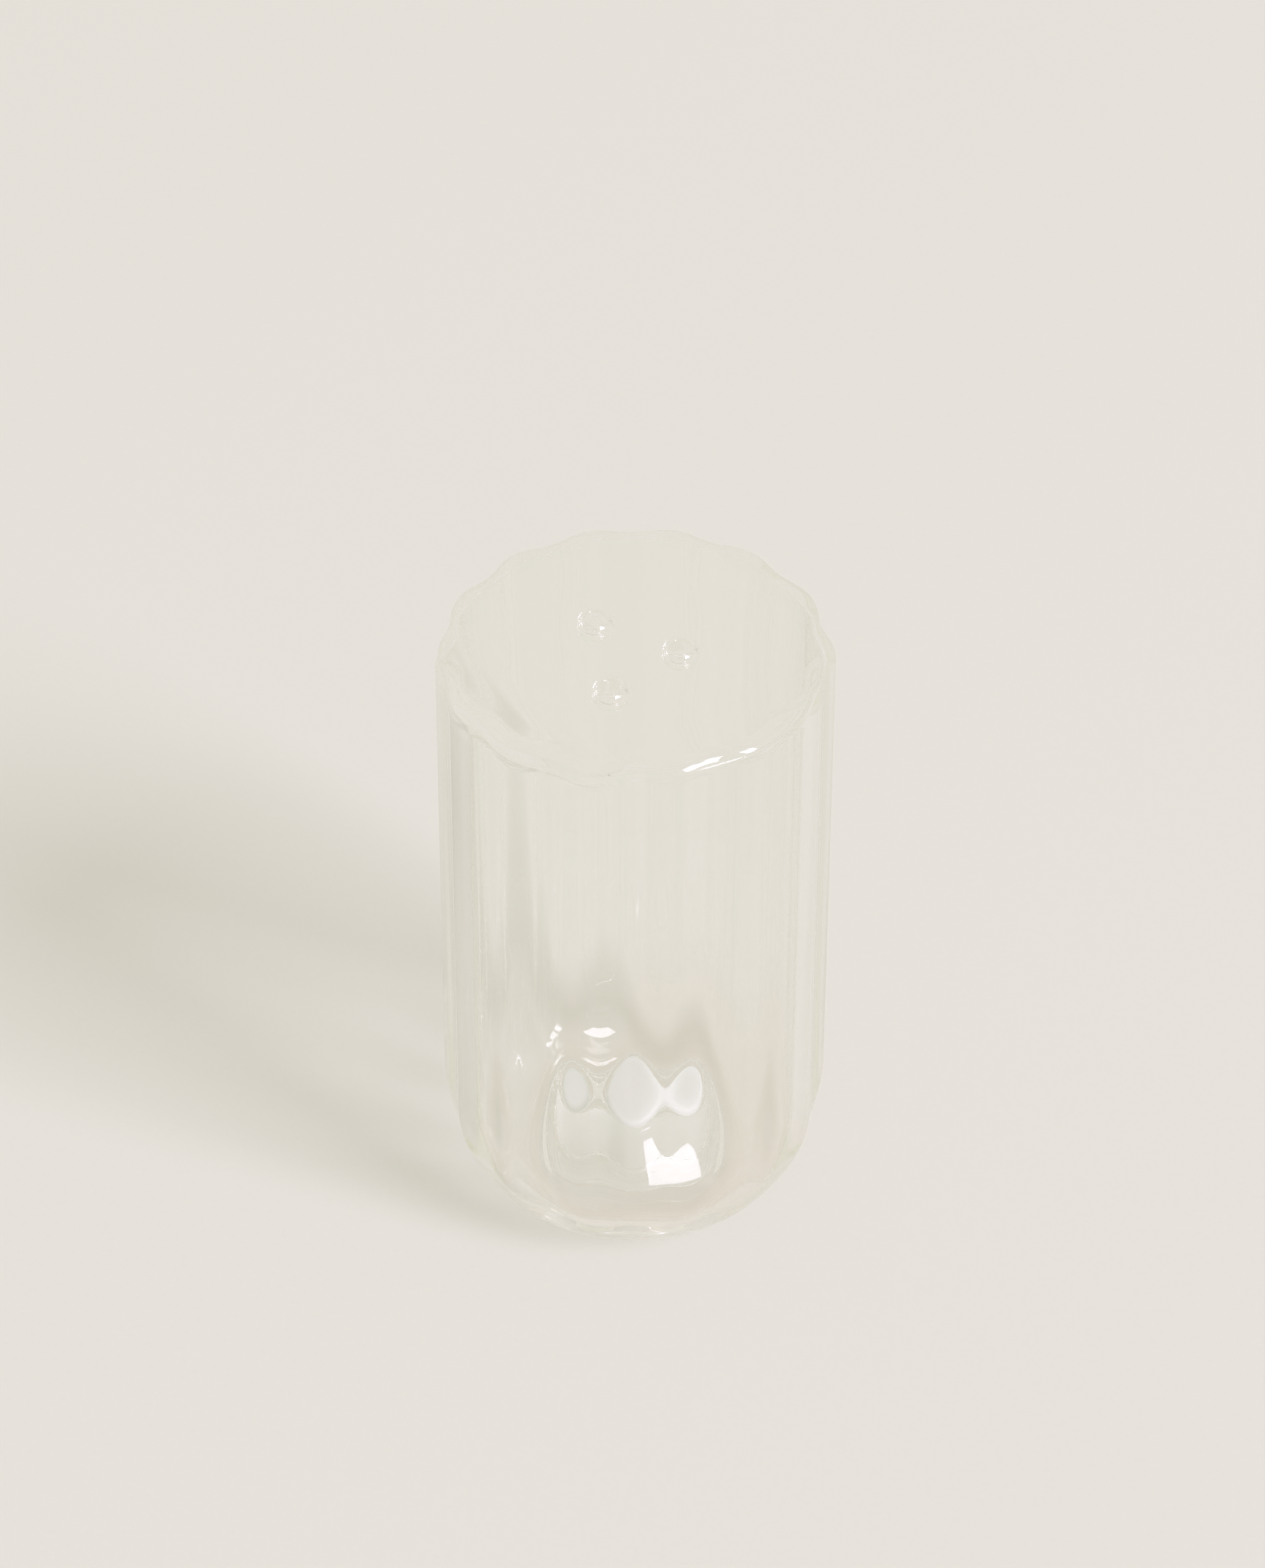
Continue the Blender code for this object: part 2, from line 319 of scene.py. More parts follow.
# %% Where the holes are
HOLE_RADIUS = 1.3
HOLE_PITCH = 7.23
HOLE_TURNS = np.radians([6.2, 118.2, 258.4])
PATTERN_CENTRE = np.array([-1.59, -1.27])

ring = HOLE_RING * np.column_stack([np.cos(angle), np.sin(angle)])


def nearest_column(direction):
    """The grid column where a line from the pattern's centre in a direction meets the ring.

    The line's length there solves |centre + length * unit| = ring radius."""
    unit = np.array([math.cos(direction), math.sin(direction)])
    along = PATTERN_CENTRE @ unit
    length = math.sqrt(along**2 - PATTERN_CENTRE @ PATTERN_CENTRE + HOLE_RING**2) - along
    gaps = np.linalg.norm(ring - (PATTERN_CENTRE + length * unit), axis=1)
    return int(np.argmin(gaps))


last_turns = np.roll(HOLE_TURNS, 1) - np.array([2 * np.pi, 0, 0])
cut_columns = [nearest_column(turn) for turn in (HOLE_TURNS + last_turns) / 2]
print("Sectors start at columns", cut_columns)

# %% [markdown]
# The flame draws the edge of each hole into a soft round bead. It stands a little proud of the top
# and hangs further down below it, and it is what sparkles in the photograph. Its section starts on
# the top with a small fillet, goes over the bead, down through the hole, round the hanging bead and
# back out to the underside. The fillet touches both the flat top and the bead, which gives the angle
# where one takes over from the other.

# %% Section of a hole's bead
LIP = 0.45
LIP_RISE = 0.3
LIP_HANG = 1.1
LIP_FILLET = 0.15
LIP_RING = HOLE_RADIUS + LIP

rise_angle = math.asin((LIP - LIP_RISE + LIP_FILLET) / (LIP + LIP_FILLET))
rise_turn = math.degrees(rise_angle)
fillet_ring = LIP_RING + (LIP + LIP_FILLET) * math.cos(rise_angle)
under_ring = LIP_RING + LIP + LIP_FILLET
lip_section = np.vstack([
    arc((fillet_ring, BODY_HEIGHT + LIP_FILLET), LIP_FILLET, 270, 180 + rise_turn, 5),
    arc((LIP_RING, BODY_HEIGHT + LIP_RISE - LIP), LIP, rise_turn, 180, 14)[1:],
    arc((LIP_RING, CHAMBER_TOP - LIP_HANG + LIP), LIP, 180, 360, 14),
    arc((under_ring, CHAMBER_TOP - LIP_FILLET), LIP_FILLET, 180, 90, 5),
])
print("Bead section:", len(lip_section), "points,", round(2 * fillet_ring, 2), "mm across")

# %% [markdown]
# A sector's outer edge runs out along one cut, round the ring and back along the next cut. Each row
# of its grid is a blend between that edge and the round bead of the hole. The rows go on down
# through the hole and back out along the underside, so one grid makes both faces and the bore.

# %% One sector of the top with its hole
CUT_POINTS = 25
BLEND_STEPS = np.array([1, 0.75, 0.5, 0.3, 0.16, 0.07, 0.02])


def sector_edge(first, last):
    """The closed outline of a sector: out along a cut, round the ring, back along the next cut."""
    columns = (first + np.arange((last - first) % COLUMNS + 1)) % COLUMNS
    out = run(PATTERN_CENTRE, ring[first], CUT_POINTS)
    back = run(ring[last], PATTERN_CENTRE, CUT_POINTS)
    return np.vstack([out[:-1], ring[columns], back[1:-1]])


def sector(edge, hole):
    """Rows of points from the edge to the bead, through the hole and back along the underside.

    Each point is hole + bead radius * unit * (1 - blend) + (edge - hole) * blend, where blend falls
    from 1 at the edge to 0 at the bead, and the bead's radius and height follow its section."""
    away = edge - hole
    unit = away / np.linalg.norm(away, axis=1)[:, None]
    blend = np.concatenate([BLEND_STEPS, np.zeros(len(lip_section)), BLEND_STEPS[::-1]])
    blend = blend[:, None, None]
    ends = np.zeros(len(BLEND_STEPS), dtype=int)
    rows = np.concatenate([ends, np.arange(len(lip_section)), ends - 1])
    radius, height = lip_section[rows, 0], lip_section[rows, 1]
    flat = hole + radius[:, None, None] * unit * (1 - blend) + away * blend
    tall = np.broadcast_to(height[:, None, None], (*flat.shape[:2], 1))
    return np.concatenate([flat, tall], axis=-1)


sectors = []
for number, turn in enumerate(HOLE_TURNS):
    hole = PATTERN_CENTRE + HOLE_PITCH * np.array([math.cos(turn), math.sin(turn)])
    edge = sector_edge(cut_columns[number], cut_columns[(number + 1) % len(cut_columns)])
    sectors.append(sector(edge, hole))
    print("Hole at", np.round(hole, 2), "mm, sector grid", sectors[-1].shape[:2])

# %% [markdown]
# The top gets its slight waviness now, on all its points at once, so that the skin and the sectors
# still meet. Its two faces are moved by different waves, as in real glass, where the thickness
# varies. On the left in front the glass is thicker: the underside dips beyond a curved fold there,
# where the top was melted on. The upper face is dished by the height of the beads, so they end level
# with the rim. The points only ever move down, so the shaker keeps its height.

# %% Waves in the flat top
WAVE_DEPTH = 0.05
WAVE_FADE = 6.0
UPPER_WAVES = ((0.55, 0.2, 1.0), (-0.5, 0.35, 0.0))
UNDER_WAVES = ((0.3, 0.6, 2.0), (0.5, -0.25, 0.7))
FOLD_DEPTH = 1.3
FOLD_CENTRE = (17.7, 13.5)
FOLD_START = 40.0
FOLD_END = 44.5
DISH_START = 12.0
DISH_END = 20.0


def plane_waves(x, y, waves):
    """0 to 1: half + the mean of sines of (across * x + along * y + shift) / 2."""
    total = sum(np.sin(across * x + along * y + shift) for across, along, shift in waves)
    return 0.5 + total / (2 * len(waves))


def wavy_top(points):
    """Lower the top's points by plane waves, other waves for its underside, and fade them below.

    The fold eases down between two circles about a far centre, and only on the underside. The dish
    eases down between two circles about the axis, and only on the upper face."""
    x, y, z = points[..., 0], points[..., 1], points[..., 2]
    upper = z > (BODY_HEIGHT + CHAMBER_TOP) / 2
    near = np.clip((z - CHAMBER_TOP + WAVE_FADE) / WAVE_FADE, 0, 1)
    wave = np.where(upper, plane_waves(x, y, UPPER_WAVES), plane_waves(x, y, UNDER_WAVES))
    away = np.hypot(x - FOLD_CENTRE[0], y - FOLD_CENTRE[1])
    fold = np.where(upper, 0, ease(away, FOLD_START, FOLD_END))
    dish = np.where(upper, 1 - ease(np.hypot(x, y), DISH_START, DISH_END), 0)
    moved = points.copy()
    moved[..., 2] -= near * (WAVE_DEPTH * wave + FOLD_DEPTH * fold + LIP_RISE * dish)
    return moved


skin = wavy_top(skin)
sectors = [wavy_top(part) for part in sectors]
lowest = min(float(part[0, :, 2].min()) for part in sectors)
print("The top dips by up to", round(BODY_HEIGHT - lowest, 3), "mm")

# %% [markdown]
# ## From grids to meshes
#
# A grid of points becomes a mesh when neighbouring points are joined in fours. The grids close on
# themselves round the axis, so the last column joins the first. Where grids share an edge they have
# the very same points there, and merging those makes one closed skin. A closed skin matters for
# glass, because light has to go in and come out again. The signed volume tells whether the faces
# point outwards.

# %% Join grids into one closed object
MERGE_DISTANCE = 1e-7
SLIVER_LENGTH = 1e-8
CUBIC_CM = 1e6


def quads(rows, columns, first, outward):
    """Corners of each cell (i, j): points (i, j), (i+1, j), (i+1, j+1) and (i, j+1), taken round."""
    i, j = np.meshgrid(np.arange(rows - 1), np.arange(columns), indexing="ij")
    here, below = i * columns, (i + 1) * columns
    k = (j + 1) % columns
    corners = np.stack([here + j, below + j, below + k, here + k], axis=-1)
    corners = corners.reshape(-1, 4) + first
    return corners if outward else corners[:, ::-1]


def closed_object(name, grids):
    """One object from grids of points in millimetres, each with whether its cells face outwards."""
    points, cells, count = [], [], 0
    for grid, outward in grids:
        points.append(grid.reshape(-1, 3))
        cells.append(quads(*grid.shape[:2], count, outward))
        count += len(points[-1])
    mesh = bpy.data.meshes.new(name)
    mesh.from_pydata(np.vstack(points) * MM, [], np.vstack(cells).tolist())
    shape = bmesh.new()
    shape.from_mesh(mesh)
    bmesh.ops.remove_doubles(shape, verts=shape.verts, dist=MERGE_DISTANCE)
    bmesh.ops.dissolve_degenerate(shape, edges=shape.edges, dist=SLIVER_LENGTH)
    open_edges = sum(not line.is_manifold for line in shape.edges)
    volume = shape.calc_volume(signed=True) * CUBIC_CM
    shape.to_mesh(mesh)
    shape.free()
    mesh.shade_smooth()
    item = bpy.data.objects.new(name, mesh)
    scene.collection.objects.link(item)
    triangles = sum(len(face.vertices) - 2 for face in mesh.polygons)
    print(f"{name}: {triangles} triangles, {open_edges} open edges, {volume:.2f} cubic cm")
    return item


glass_skin = closed_object("glass_skin", [(skin, True)] + [(part, False) for part in sectors])
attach(glass_skin, "glass")
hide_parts("glass_body")

# %% [markdown]
# ## The stopper
#
# The stopper is moulded in milky silicone: a hollow plug that fills the neck's bore, and a flange
# that sits in the recess under the base. Its section is drawn in the same way as the glass. The
# plug is a hair wider than the bore, because the soft silicone is squeezed against the glass. That
# contact is why the whole neck looks milky from outside.

# %% Section of the stopper
STOPPER_LIFT = 0.8
FLANGE = 1.4
FLANGE_RADIUS = 10.4
PLUG_RADIUS = 6.62
PLUG_RISE = 0.4
PLUG_ROOF = 2.4
PLUG_EDGE = 0.5
PLUG_TOP = NECK_TOP + PLUG_RISE
HOLLOW_RADIUS = 4.2
HOLLOW_TOP = PLUG_TOP - PLUG_ROOF
SOFT_EDGE = 0.6
FLANGE_TOP = STOPPER_LIFT + FLANGE
FLANGE_ROUND = FLANGE / 2

stopper_section = np.vstack([
    run((0, PLUG_TOP), (PLUG_RADIUS - PLUG_EDGE, PLUG_TOP), 8),
    arc((PLUG_RADIUS - PLUG_EDGE, PLUG_TOP - PLUG_EDGE), PLUG_EDGE, 90, 0, 10),
    run((PLUG_RADIUS, PLUG_TOP - PLUG_EDGE), (PLUG_RADIUS, FLANGE_TOP + SOFT_EDGE), 8),
    arc((PLUG_RADIUS + SOFT_EDGE, FLANGE_TOP + SOFT_EDGE), SOFT_EDGE, 180, 270, 7),
    arc((FLANGE_RADIUS - FLANGE_ROUND, FLANGE_TOP - FLANGE_ROUND), FLANGE_ROUND, 90, -90, 12),
    arc((HOLLOW_RADIUS + SOFT_EDGE, STOPPER_LIFT + SOFT_EDGE), SOFT_EDGE, -90, -180, 7),
    arc((HOLLOW_RADIUS - SOFT_EDGE, HOLLOW_TOP - SOFT_EDGE), SOFT_EDGE, 0, 90, 7),
    run((HOLLOW_RADIUS - SOFT_EDGE, HOLLOW_TOP), (0, HOLLOW_TOP), 6),
])
stopper_section = stopper_section[fresh_points(stopper_section)]
print("Stopper section:", len(stopper_section), "points")

# %% [markdown]
# The stopper has no flutes, so it is simply turned: every point of the section goes round the axis
# in even steps. Both ends of the section lie on the axis, where all the points of a ring fall
# together and are merged into one pole.

# %% Turn the stopper
STOPPER_COLUMNS = 120


def turned(section, columns):
    """Turn a section round the axis: (radius * cos, radius * sin, height) over even angles."""
    turn = np.linspace(0, 2 * np.pi, columns, endpoint=False)
    radius, height = section[:, :1], np.repeat(section[:, 1:], columns, axis=1)
    return np.stack([radius * np.cos(turn), radius * np.sin(turn), height], axis=-1)


stopper_skin = closed_object("stopper_skin", [(turned(stopper_section, STOPPER_COLUMNS), True)])
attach(stopper_skin, "stopper")
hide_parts("base_stopper")

# %% [markdown]
# ## Finishes as expressions
#
# A material is a small program made of nodes. Joining dozens of nodes by hand hides the idea, so a
# helper class wraps a socket and lets Python's own arithmetic signs add the Math nodes. One method
# adds any other kind of node: its settings are set first, then its sockets are filled or linked.

# %% A wire that can be calculated with
class Wire:
    """A socket of a node tree. Arithmetic with wires and numbers adds Math nodes to the tree."""

    def __init__(self, tree, socket=None):
        self.tree = tree
        self.socket = socket

    def make(self, kind, settings=None, sockets=None, output=0):
        """Add a node, apply its settings, fill or link its sockets, and return one output."""
        node = self.tree.nodes.new(kind)
        for name, value in (settings or {}).items():
            setattr(node, name, value)
        for name, value in (sockets or {}).items():
            if isinstance(value, Wire):
                self.tree.links.new(value.socket, node.inputs[name])
            else:
                node.inputs[name].default_value = value
        return Wire(self.tree, node.outputs[output] if node.outputs else None)

    def math(self, operation, *others):
        """A Math node of this wire and any others, in that order."""
        return self.make("ShaderNodeMath", {"operation": operation}, dict(enumerate((self, *others))))

    def __add__(self, other):
        return self.math("ADD", other)

    def __sub__(self, other):
        return self.math("SUBTRACT", other)

    def __rsub__(self, other):
        return self.make("ShaderNodeMath", {"operation": "SUBTRACT"}, {0: other, 1: self})

    def __mul__(self, other):
        return self.math("MULTIPLY", other)

    def __pow__(self, other):
        return self.math("POWER", other)

    __radd__ = __add__
    __rmul__ = __mul__


print("Helper ready:", Wire.__name__)

# %% [markdown]
# A few steps come back in every finish: starting an empty material, splitting a place into its three
# numbers, marking a part with a soft edge, mixing two colours or two shaders, and making soft clouds.
# Each gets a short function, so that the finishes below read as what they are. Places are in metres
# on the piece itself, so a finish stays put when the piece moves.

# %% Steps that every finish shares
def new_finish(name, item):
    """A fresh material on an object, with an empty node tree, as a wire without a socket."""
    finish = bpy.data.materials.new(name)
    finish.use_nodes = True
    finish.node_tree.nodes.clear()
    item.data.materials.append(finish)
    return Wire(finish.node_tree)


def parts_of(vector):
    """The three numbers of a vector, from one node."""
    first = vector.make("ShaderNodeSeparateXYZ", sockets={"Vector": vector})
    return [Wire(vector.tree, socket) for socket in first.socket.node.outputs]


def between(value, limits):
    """0 below the first limit, 1 above the second, and a smooth step in between."""
    sockets = {0: value, 1: limits[0], 2: limits[1]}
    return value.make("ShaderNodeMapRange", {"interpolation_type": "SMOOTHSTEP"}, sockets)


def mixed_colour(factor, first, second, way="MIX"):
    """Two colours mixed by a factor: 0 gives the first one, and 1 what the way makes of both."""
    first, second = (tone if isinstance(tone, Wire) else (*tone, 1.0) for tone in (first, second))
    settings = {"data_type": "RGBA", "blend_type": way}
    return factor.make("ShaderNodeMix", settings, {"Factor": factor, 6: first, 7: second}, output=2)


def mixed_shader(factor, first, second):
    """Two shaders mixed by a factor, where 0 gives the first one."""
    return factor.make("ShaderNodeMixShader", sockets={0: factor, 1: first, 2: second})


def noise(place, scale, detail):
    """Soft clouds about 1 / scale across, with as many finer layers as detail says."""
    sockets = {"Vector": place, "Scale": scale, "Detail": detail}
    return place.make("ShaderNodeTexNoise", sockets=sockets)


shared = (new_finish, parts_of, between, mixed_colour, mixed_shader, noise)
print("Shared steps:", ", ".join(step.__name__ for step in shared))

# %% [markdown]
# ## Clear glass
#
# Clear glass has hardly any colour of its own. What shows is how it bends and mirrors the table,
# with a faint tint where light goes through a lot of it. First the parts of the glass are marked by
# their place: the wall and what lies outside the neck by the distance from the axis, and the base
# corner and the underside by the height.

# %% Parts of the glass
WALL_BAND = (0.019, 0.022)
NECK_BAND = (0.012, 0.016)
CORNER_BAND = (0.006, 0.021)
SHADED_UNDER_BAND = (0.0005, 0.005)
RIGHT_SHADE_BAND = (-0.014, 0.014)

glass = new_finish("clear_glass", glass_skin)
place = glass.make("ShaderNodeTexCoord", output="Object")
across, along, height = parts_of(place)
axis_distance = (across * across + along * along).math("SQRT")
wall_part = between(axis_distance, WALL_BAND)
outer_part = between(axis_distance, NECK_BAND)
above_corner = between(height, CORNER_BAND)
above_shaded_underside = between(height, SHADED_UNDER_BAND)
shaded_right_part = between(across, RIGHT_SHADE_BAND)
print("Marks ready, glass nodes so far:", len(glass.tree.nodes))

# %% [markdown]
# The wall has faint grey-green streaks, which run upright: partly cords drawn into the glass,
# partly painted shade for the light and dark bands seen through the flutes. A noise that is
# stretched along the height gives them. The flat top has one even tint. The thick base corner is
# warmer, partly its own tint and partly painted shade, darker on the right. The underside gets a
# warm, darker painted shade. The neck is left white, so that it doesn't darken the stopper in it.
# At a grazing angle light runs a long way inside the wall, so the outline of the glass is darker,
# and Layer Weight paints that darkening into the colour as painted shade.

# %% Tint and painted shade of the glass
STREAK_STRETCH = (420.0, 420.0, 6.0)
STREAK_BAND = (0.36, 0.64)
WALL_PALE = (0.998, 1.0, 0.989)
WALL_DEEP_SHADE = (0.973, 0.983, 0.960)
TOP_TINT = (0.991, 0.996, 0.981)
CORNER_LEFT = (0.996, 0.988, 0.972)
CORNER_RIGHT_SHADE = (0.952, 0.930, 0.895)
UNDER_SHADE = (0.957, 0.927, 0.880)
NECK_TINT = (1.0, 1.0, 1.0)
OUTLINE_SHADE = (0.78, 0.775, 0.715)
OUTLINE_POWER = 5.0

stretched = glass.make("ShaderNodeMapping", sockets={"Vector": place, "Scale": STREAK_STRETCH})
cord_and_shade_streak = between(noise(stretched, scale=1.0, detail=2.0), STREAK_BAND)
# painted shade: the darker streak colour stands partly for light and dark bands seen through the
# flutes
tint = mixed_colour(wall_part, TOP_TINT, mixed_colour(cord_and_shade_streak, WALL_PALE, WALL_DEEP_SHADE))
# painted shade: the base corner is painted darker and warmer on its right side
tint = mixed_colour(above_corner, mixed_colour(shaded_right_part, CORNER_LEFT, CORNER_RIGHT_SHADE), tint)
# painted shade: the underside is painted warm and darker for the shaded table seen through the base
tint = mixed_colour(above_shaded_underside, UNDER_SHADE, tint)
tint = mixed_colour(outer_part.math("MAXIMUM", above_corner), NECK_TINT, tint)
facing = glass.make("ShaderNodeLayerWeight", sockets={"Blend": 0.5}, output="Facing")
# painted shade: a darker outline where the glass is seen at a grazing angle
tint = mixed_colour(facing**OUTLINE_POWER * wall_part, tint, OUTLINE_SHADE, "MULTIPLY")
print("Tint ready, glass nodes so far:", len(glass.tree.nodes))

# %% [markdown]
# The surface is fire-polished, with slightly duller patches where it is handled. A thin shell with a
# see-through colour would look like plastic film, so the skin is a real solid with two faces, and
# the shader lets all light through and bends it as glass does.

# %% Polished glass
GLASS_BEND = 1.47
PATCH_SCALE = 60.0
PATCH_DULL = 0.012

polished = glass.make(
    "ShaderNodeBsdfPrincipled",
    sockets={
        "Base Color": tint,
        "Roughness": noise(place, PATCH_SCALE, detail=4.0) * PATCH_DULL,
        "IOR": GLASS_BEND,
        "Transmission Weight": 1.0,
    },
)
print("Polished glass bends light by", GLASS_BEND)

# %% [markdown]
# Bending light towards a lamp is a slow search for a path tracer, so for shadows the glass is
# treated as a veil instead. It takes away more at the rim and at the base corner, where the glass
# is thick, and where light grazes past, and a little in stripes for the flutes. That gives the pale
# shadow with darker edges that the photograph shows. Near the standing ring the veil fades away, so
# that the ring doesn't get a hard dark line. Light scattered by the table may pass freely.

# %% Veil for shadows
RIM_BAND = (0.055, 0.087)
RING_BAND = (0.0005, 0.009)
VEIL_RIM = 0.31
VEIL_CORNER = 0.14
VEIL_STRIPE = 0.07
VEIL_EDGE = 0.75
VEIL_EDGE_CORNER = 0.3
VEIL_EDGE_POWER = 2.0

grazing = VEIL_EDGE * facing**VEIL_EDGE_POWER
grazing = grazing * (VEIL_EDGE_CORNER + (1.0 - VEIL_EDGE_CORNER) * above_corner)
stripe = (along.math("ARCTAN2", across) * FLUTES).math("COSINE")
loss = VEIL_RIM * between(height, RIM_BAND) + VEIL_CORNER * (1.0 - above_corner)
loss = loss + grazing + VEIL_STRIPE * stripe
loss = loss * (1.0 - outer_part * (1.0 - between(height, RING_BAND)))
shadow_ray = glass.make("ShaderNodeLightPath", output="Is Shadow Ray")
table_ray = glass.make("ShaderNodeLightPath", output="Is Diffuse Ray")
passing = ((1.0 - loss) * shadow_ray).math("MAXIMUM", table_ray)
veiled = mixed_shader(passing, polished, glass.make("ShaderNodeBsdfTransparent"))
print("Veil ready, glass nodes so far:", len(glass.tree.nodes))

# %% [markdown]
# Some light is caught in the glass and mirrored there again and again. In real glass it comes out
# somewhere in the end, but a path tracer gives up on it, which leaves dark specks and lines. So
# after a few mirrorings the light goes straight on, with a faint tint for the way it has come.

# %% Let caught light out
LEAK_AFTER = 3.5
LEAK_TINT = (0.985, 0.988, 0.972, 1.0)

mirrorings = glass.make("ShaderNodeLightPath", output="Glossy Depth")
leak = glass.make("ShaderNodeBsdfTransparent", sockets={"Color": LEAK_TINT})
surface = mixed_shader(mirrorings.math("GREATER_THAN", LEAK_AFTER), veiled, leak)
glass.make("ShaderNodeOutputMaterial", sockets={"Surface": surface})
print("Glass nodes:", len(glass.tree.nodes))

# %% [markdown]
# ## Milky silicone
#
# Silicone lets light in and scatters it, so the stopper looks like thin milk: soft shading and a
# satin surface from the mould. Subsurface scattering gives the milk. The side is nearly white with
# faint clouds. The top, over the hollow, gets painted shade: a greyer colour that reaches down over
# its rounded edge, so that the top is no brighter than the side and the glint on the edge is dimmed.
# A fine grain in the bump breaks up the gloss.

# %% Body of the silicone
MILK_DEEP = (0.975, 0.967, 0.955)
MILK_PALE = (0.99, 0.982, 0.97)
TOP_SHADE_TONE = (0.72, 0.69, 0.668)
TOP_SHADE_BAND = (0.0103, 0.0112)
CLOUD_SCALE = 220.0
GRAIN_SCALE = 4000.0
GRAIN_DEPTH = 0.00002
GRAIN_STRENGTH = 0.2
SILICONE_BEND = 1.41
SATIN = 0.5
SATIN_CLOUD = 0.16
SCATTER_LENGTH = 0.006

silicone = new_finish("milky_silicone", stopper_skin)
place = silicone.make("ShaderNodeTexCoord", output="Object")
cloud = noise(place, CLOUD_SCALE, detail=4.0)
grain = noise(place, GRAIN_SCALE, detail=2.0)
shaded_plug_top = between(parts_of(place)[2], TOP_SHADE_BAND)
# painted shade: the top and its rounded edge are painted greyer than the side
milk = mixed_colour(shaded_plug_top, mixed_colour(cloud, MILK_DEEP, MILK_PALE), TOP_SHADE_TONE)
bump = {"Strength": GRAIN_STRENGTH, "Distance": GRAIN_DEPTH, "Height": grain}
scattering = silicone.make(
    "ShaderNodeBsdfPrincipled",
    sockets={
        "Base Color": milk,
        "Roughness": SATIN + SATIN_CLOUD * cloud,
        "Normal": silicone.make("ShaderNodeBump", sockets=bump),
        "IOR": SILICONE_BEND,
        "Subsurface Weight": 1.0,
        "Subsurface Radius": (1.0, 1.0, 1.0),
        "Subsurface Scale": SCATTER_LENGTH,
    },
)
print("Silicone scatters light over", SCATTER_LENGTH / MM, "mm")

# %% [markdown]
# The plug is hollow and its wall is thin, so light from the far side comes through. A translucent
# share on the side of the plug does that and evens out its lit and its dark half. Most light on its
# way to a lamp or from the table passes too, so the neck stays bright inside.

# %% Light through the silicone
GLOW_SHARE = 0.7
GLOW_TONE = (0.975, 0.985, 0.98, 1.0)
PASSING_SHARE = 0.9
PASSING_TONE = (1.0, 0.99, 0.97, 1.0)

glow = silicone.make("ShaderNodeBsdfTranslucent", sockets={"Color": GLOW_TONE})
soft = mixed_shader(GLOW_SHARE * (1.0 - shaded_plug_top), scattering, glow)
shadow_ray = silicone.make("ShaderNodeLightPath", output="Is Shadow Ray")
table_ray = silicone.make("ShaderNodeLightPath", output="Is Diffuse Ray")
passing = PASSING_SHARE * shadow_ray.math("MAXIMUM", table_ray)
through = silicone.make("ShaderNodeBsdfTransparent", sockets={"Color": PASSING_TONE})
surface = mixed_shader(passing, soft, through)
silicone.make("ShaderNodeOutputMaterial", sockets={"Surface": surface})
print("Silicone nodes:", len(silicone.tree.nodes))

# %% [markdown]
# ## The table
#
# The shaker stands on a plain warm-white table. It is a single large sheet, a hair below the
# standing ring, with a very faint mottle so that it isn't a dead flat colour. Seen from below it
# vanishes, so that the underside and the pulled-out stopper can be looked at too.

# %% Table and its finish
TABLE_HALF = 3.0
TABLE_DROP = 0.00002
TABLE_DEEP = (0.781, 0.734, 0.677)
TABLE_PALE = (0.801, 0.754, 0.697)
TABLE_DULL = 0.9
TABLE_GLOSS = 0.2
MOTTLE_SCALE = 1200.0

sheet = bpy.data.meshes.new("table")
corners = np.array([(-1, -1), (1, -1), (1, 1), (-1, 1)]) * TABLE_HALF
sheet.from_pydata(np.column_stack([corners, np.full(4, -TABLE_DROP)]), [], [(0, 1, 2, 3)])
table = bpy.data.objects.new("table", sheet)
scene.collection.objects.link(table)

paint = new_finish("warm_white_table", table)
place = paint.make("ShaderNodeTexCoord", output="Object")
mottle = noise(place, MOTTLE_SCALE, detail=3.0)
matt = paint.make(
    "ShaderNodeBsdfPrincipled",
    sockets={
        "Base Color": mixed_colour(mottle, TABLE_DEEP, TABLE_PALE),
        "Roughness": TABLE_DULL,
        "Specular IOR Level": TABLE_GLOSS,
    },
)
from_below = paint.make("ShaderNodeNewGeometry", output="Backfacing")
surface = mixed_shader(from_below, matt, paint.make("ShaderNodeBsdfTransparent"))
paint.make("ShaderNodeOutputMaterial", sockets={"Surface": surface})
print("Table:", 2 * TABLE_HALF, "m wide")

# %% [markdown]
# ## Light
#
# The photograph has one main light, high on the right in front, and soft light from all round. Its
# shape shows as the short white marks on the rim and the white patch at the foot of the neck. A
# rectangular lamp far away gives an even table, and its angle and size give the soft shadow to the
# left.

# %% Main lamp
KEY_TURN = math.radians(-34)
KEY_HEIGHT = math.radians(40)
KEY_DISTANCE = 8.0
KEY_WIDTH = 2.6
KEY_TALL = 2.9
KEY_POWER = 320.0
KEY_COLOUR = (0.94, 0.905, 1.16)

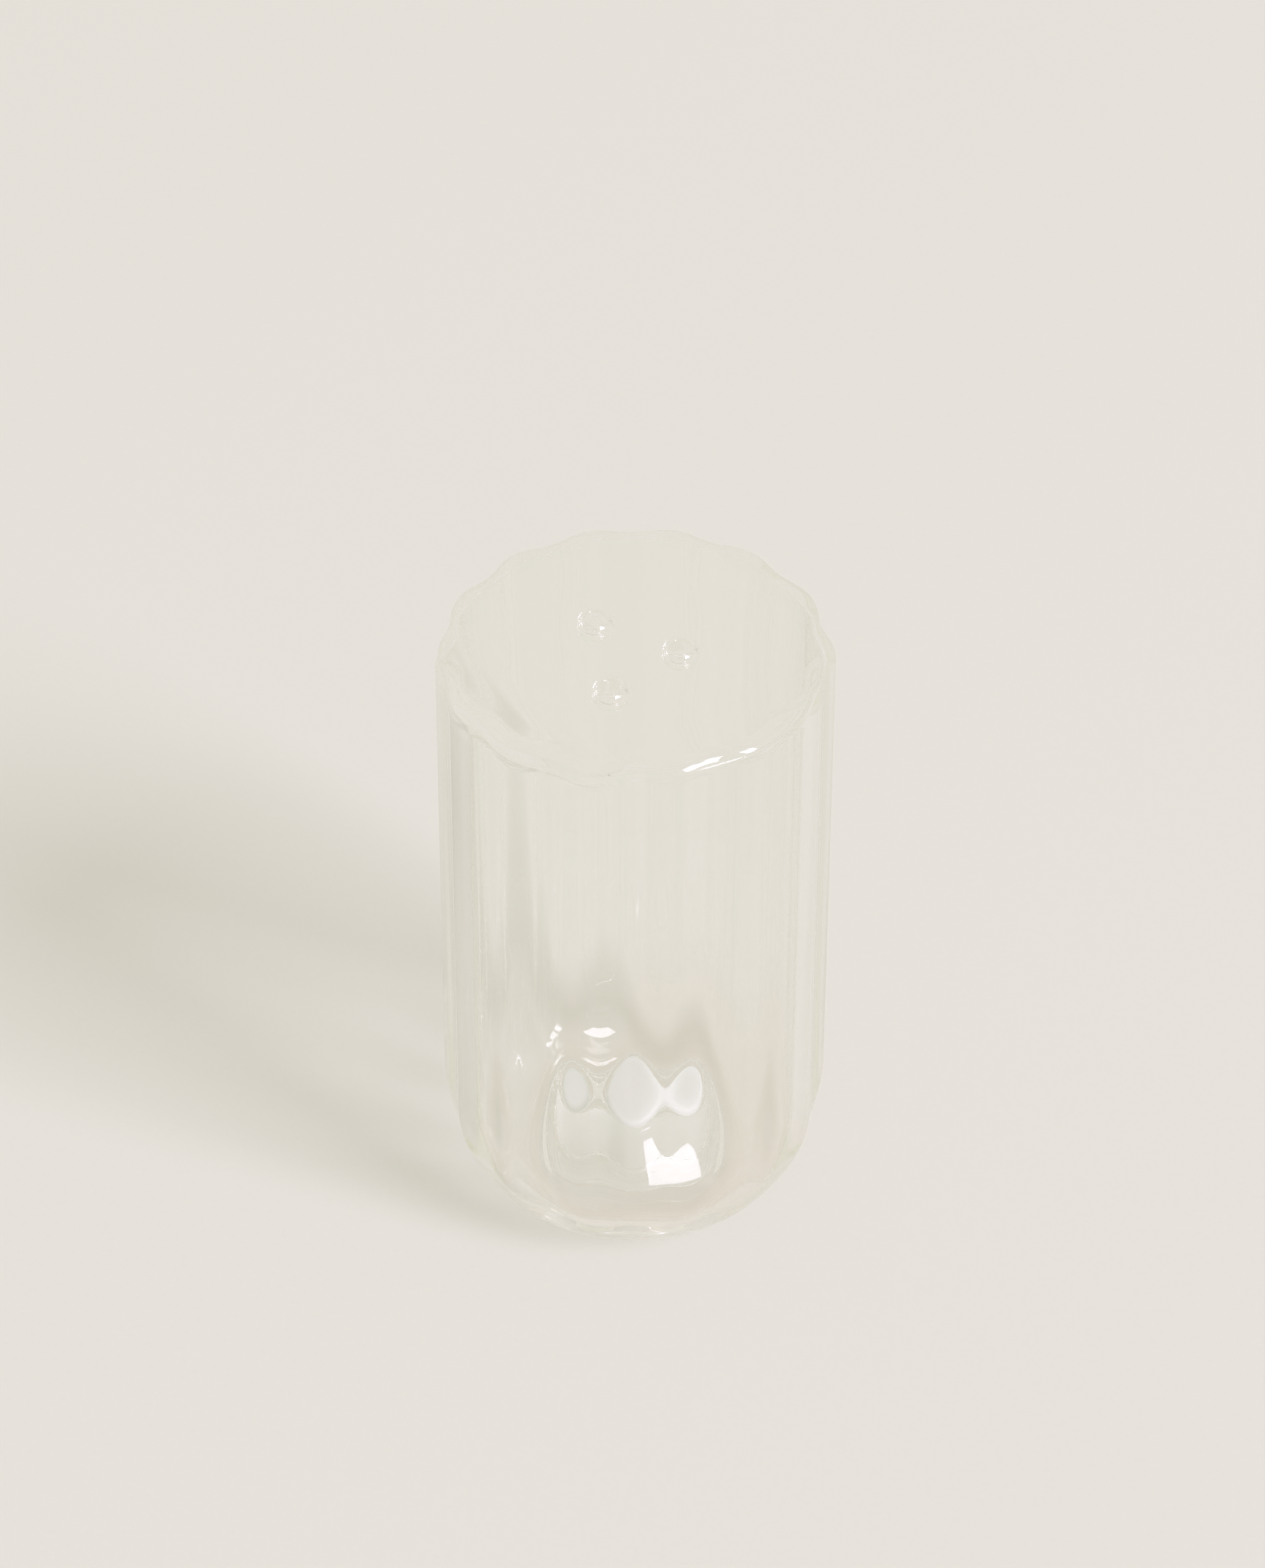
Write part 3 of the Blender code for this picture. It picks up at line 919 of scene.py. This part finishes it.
lamp = bpy.data.lights.new("main_light", "AREA")
lamp.shape = "RECTANGLE"
lamp.size = KEY_WIDTH
lamp.size_y = KEY_TALL
lamp.energy = KEY_POWER
lamp.color = KEY_COLOUR
main_light = bpy.data.objects.new("main_light", lamp)
scene.collection.objects.link(main_light)
towards = Vector((
    math.cos(KEY_TURN) * math.cos(KEY_HEIGHT),
    math.sin(KEY_TURN) * math.cos(KEY_HEIGHT),
    math.sin(KEY_HEIGHT),
))
main_light.location = towards * KEY_DISTANCE
main_light.rotation_euler = (math.pi / 2 - KEY_HEIGHT, 0, math.pi / 2 + KEY_TURN)
print(f"Lamp {KEY_WIDTH} m by {KEY_TALL} m, power {lamp.energy:.1f} W")

# %% [markdown]
# The sky is a plain pale dome, a little darker towards the horizon. Where it is looked at, straight,
# in a mirroring or through glass, it has the colour of the table instead, so that the table seems to
# have no end. A ray goes through many faces of the glass before it ends, at the rim and in the base
# most of all, so the path tracer is allowed many bounces.

# %% Sky and bounces
HORIZON = (0.65, 0.67, 0.60)
ZENITH = (0.74, 0.76, 0.685)
BACKDROP = (0.79, 0.75, 0.695)
BOUNCES = 100
CLEAR_LAYERS = 32

dome = bpy.data.worlds.new("pale_dome")
scene.world = dome
dome.use_nodes = True
dome.node_tree.nodes.clear()
sky = Wire(dome.node_tree)
upward = parts_of(sky.make("ShaderNodeTexCoord", output="Generated"))[2]
shade = mixed_colour(sky.make("ShaderNodeClamp", sockets={"Value": upward}), HORIZON, ZENITH)
seen = sky.make("ShaderNodeLightPath", output="Is Camera Ray")
for kind in ("Is Glossy Ray", "Is Transmission Ray"):
    seen = seen.math("MAXIMUM", sky.make("ShaderNodeLightPath", output=kind))
colours = {"Color": mixed_colour(seen, shade, BACKDROP), "Strength": 1.0}
light = sky.make("ShaderNodeBackground", sockets=colours)
sky.make("ShaderNodeOutputWorld", sockets={"Surface": light})

scene.cycles.max_bounces = BOUNCES
scene.cycles.glossy_bounces = BOUNCES
scene.cycles.transmission_bounces = BOUNCES
scene.cycles.transparent_max_bounces = CLEAR_LAYERS
print("Sky nodes:", len(sky.tree.nodes), "- bounces in glass:", BOUNCES)
